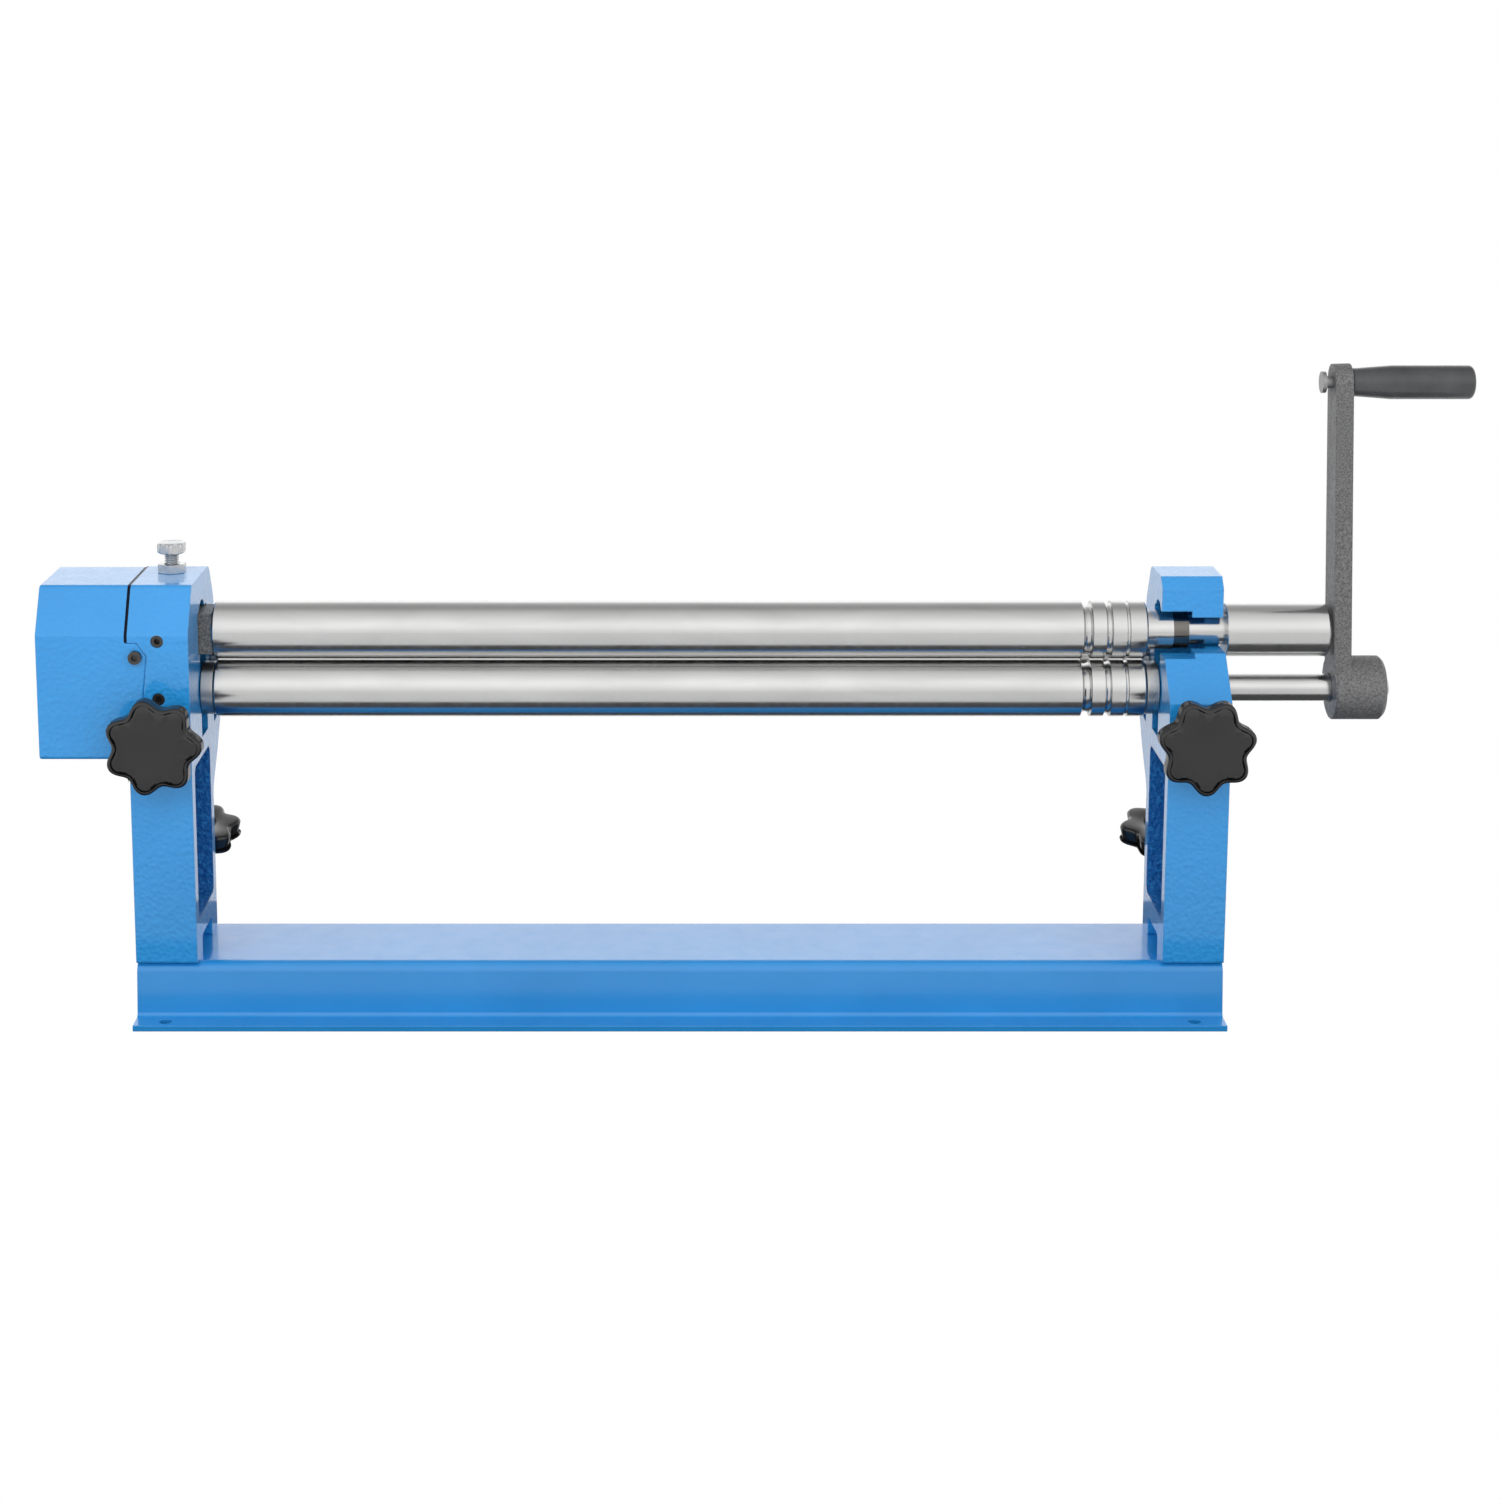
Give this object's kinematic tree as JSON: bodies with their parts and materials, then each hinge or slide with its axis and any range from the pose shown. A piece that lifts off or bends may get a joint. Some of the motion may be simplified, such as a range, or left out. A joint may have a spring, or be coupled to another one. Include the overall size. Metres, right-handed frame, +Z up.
{
  "type": "slip roll machine",
  "caption": "Bench slip roll with two pinch rolls, a bending roll, cast side frames, star adjusting knobs and a hand crank on a bent steel base.",
  "frame": {"origin": "centre of the four bench bolt holes, on the underside of the base", "axes": "+X along the rolls towards the crank, +Y from the front to the back, +Z up"},
  "size_m": [0.925, 0.1721, 0.4262],
  "materials": {
    "blue_paint": "glossy hammered enamel",
    "ground_steel": "fine ground and turned",
    "block_iron": "dark, lightly rough",
    "crank_casting": "rough dark casting",
    "black_knob": "glossy moulded",
    "zinc_plate": "bright zinc plate",
    "black_oxide": "black oxide, oiled",
    "gear_steel": "machined steel"
  },
  "bodies": {
    "root": {"base_channel": "blue_paint", "left_frame": "blue_paint", "right_frame": "blue_paint", "frame_bolts": "zinc_plate", "frame_washers": "zinc_plate", "gear_cover": "blue_paint", "cover_screw": "black_oxide", "set_screws": "black_oxide", "swing_bolt": "zinc_plate", "swing_jam_nut": "zinc_plate"},
    "swing_block": {"trunnion_block": "block_iron"},
    "upper_roll": {"upper_roll": "ground_steel", "upper_gear": "gear_steel", "upper_gear_key": "gear_steel", "upper_gear_ring": "black_oxide"},
    "lower_carrier": {"left_lower_block": "ground_steel", "right_lower_block": "ground_steel"},
    "lower_roll": {"lower_roll": "ground_steel", "lower_gear": "gear_steel", "lower_gear_key": "gear_steel", "lower_gear_ring": "black_oxide", "crank_arm": "crank_casting", "crank_key": "gear_steel", "crank_washer": "zinc_plate", "crank_screw": "zinc_plate", "grip_spindle": "gear_steel"},
    "grip": {"grip": "black_knob"},
    "left_wedge": {"left_wedge": "block_iron"},
    "right_wedge": {"right_wedge": "block_iron"},
    "left_pinch_knob": {"left_front_screw": "zinc_plate", "left_front_knob": "black_knob"},
    "right_pinch_knob": {"right_front_screw": "zinc_plate", "right_front_knob": "black_knob"},
    "rear_carrier": {"left_rear_block": "ground_steel", "right_rear_block": "ground_steel"},
    "rear_roll": {"rear_roll": "ground_steel"},
    "left_rear_knob": {"left_rear_screw": "zinc_plate", "left_rear_knob": "black_knob"},
    "right_rear_knob": {"right_rear_screw": "zinc_plate", "right_rear_knob": "black_knob"}
  },
  "joints": [
    {"name": "upper_roll_release", "type": "hinge", "parent": "root", "child": "swing_block", "pos_m": [-0.334, 0.017, 0.25], "axis": [0, 0, -1], "range_deg": [0, 4.5]},
    {"name": "upper_roll_turn", "type": "hinge", "parent": "swing_block", "child": "upper_roll", "pos_m": [0, 0.009, 0.25], "axis": [1, 0, 0], "continuous": true},
    {"name": "pinch_slide", "type": "slide", "parent": "root", "child": "lower_carrier", "axis": [0, 0, 1], "range_m": [-0.002, 0.0005]},
    {"name": "crank_turn", "type": "hinge", "parent": "lower_carrier", "child": "lower_roll", "pos_m": [0, 0.009, 0.211], "axis": [1, 0, 0], "continuous": true},
    {"name": "grip_turn", "type": "hinge", "parent": "lower_roll", "child": "grip", "pos_m": [0, 0.009, 0.414], "axis": [1, 0, 0], "continuous": true},
    {"name": "left_wedge_slide", "type": "slide", "parent": "root", "child": "left_wedge", "axis": [0, 1, 0], "range_m": [-0.006, 0.0015]},
    {"name": "left_pinch_turn", "type": "hinge", "parent": "left_wedge", "child": "left_pinch_knob", "pos_m": [-0.334, 0, 0.191], "axis": [0, 1, 0], "range_deg": [-1440, 360]},
    {"name": "right_wedge_slide", "type": "slide", "parent": "root", "child": "right_wedge", "axis": [0, 1, 0], "range_m": [-0.006, 0.0015]},
    {"name": "right_pinch_turn", "type": "hinge", "parent": "right_wedge", "child": "right_pinch_knob", "pos_m": [0.334, 0, 0.191], "axis": [0, 1, 0], "range_deg": [-1440, 360]},
    {"name": "rear_slide", "type": "slide", "parent": "root", "child": "rear_carrier", "axis": [0, -0.1736, 0.9848], "range_m": [-0.015, 0.02]},
    {"name": "rear_roll_turn", "type": "hinge", "parent": "rear_carrier", "child": "rear_roll", "pos_m": [0, 0.0485, 0.213], "axis": [1, 0, 0], "continuous": true},
    {"name": "left_rear_turn", "type": "hinge", "parent": "rear_carrier", "child": "left_rear_knob", "pos_m": [-0.334, 0.0485, 0.213], "axis": [0, -0.1736, 0.9848], "range_deg": [-2700, 3600]},
    {"name": "right_rear_turn", "type": "hinge", "parent": "rear_carrier", "child": "right_rear_knob", "pos_m": [0.334, 0.0485, 0.213], "axis": [0, -0.1736, 0.9848], "range_deg": [-2700, 3600]}
  ],
  "couplings": [
    {"joint": "upper_roll_turn", "follows": "crank_turn", "ratio": -1},
    {"joint": "left_wedge_slide", "follows": "pinch_slide", "ratio": 3},
    {"joint": "right_wedge_slide", "follows": "pinch_slide", "ratio": 3},
    {"joint": "left_pinch_turn", "follows": "pinch_slide", "rad_per_m": 12566},
    {"joint": "right_pinch_turn", "follows": "pinch_slide", "rad_per_m": 12566},
    {"joint": "left_rear_turn", "follows": "rear_slide", "rad_per_m": 3141.6},
    {"joint": "right_rear_turn", "follows": "rear_slide", "rad_per_m": 3141.6}
  ]
}
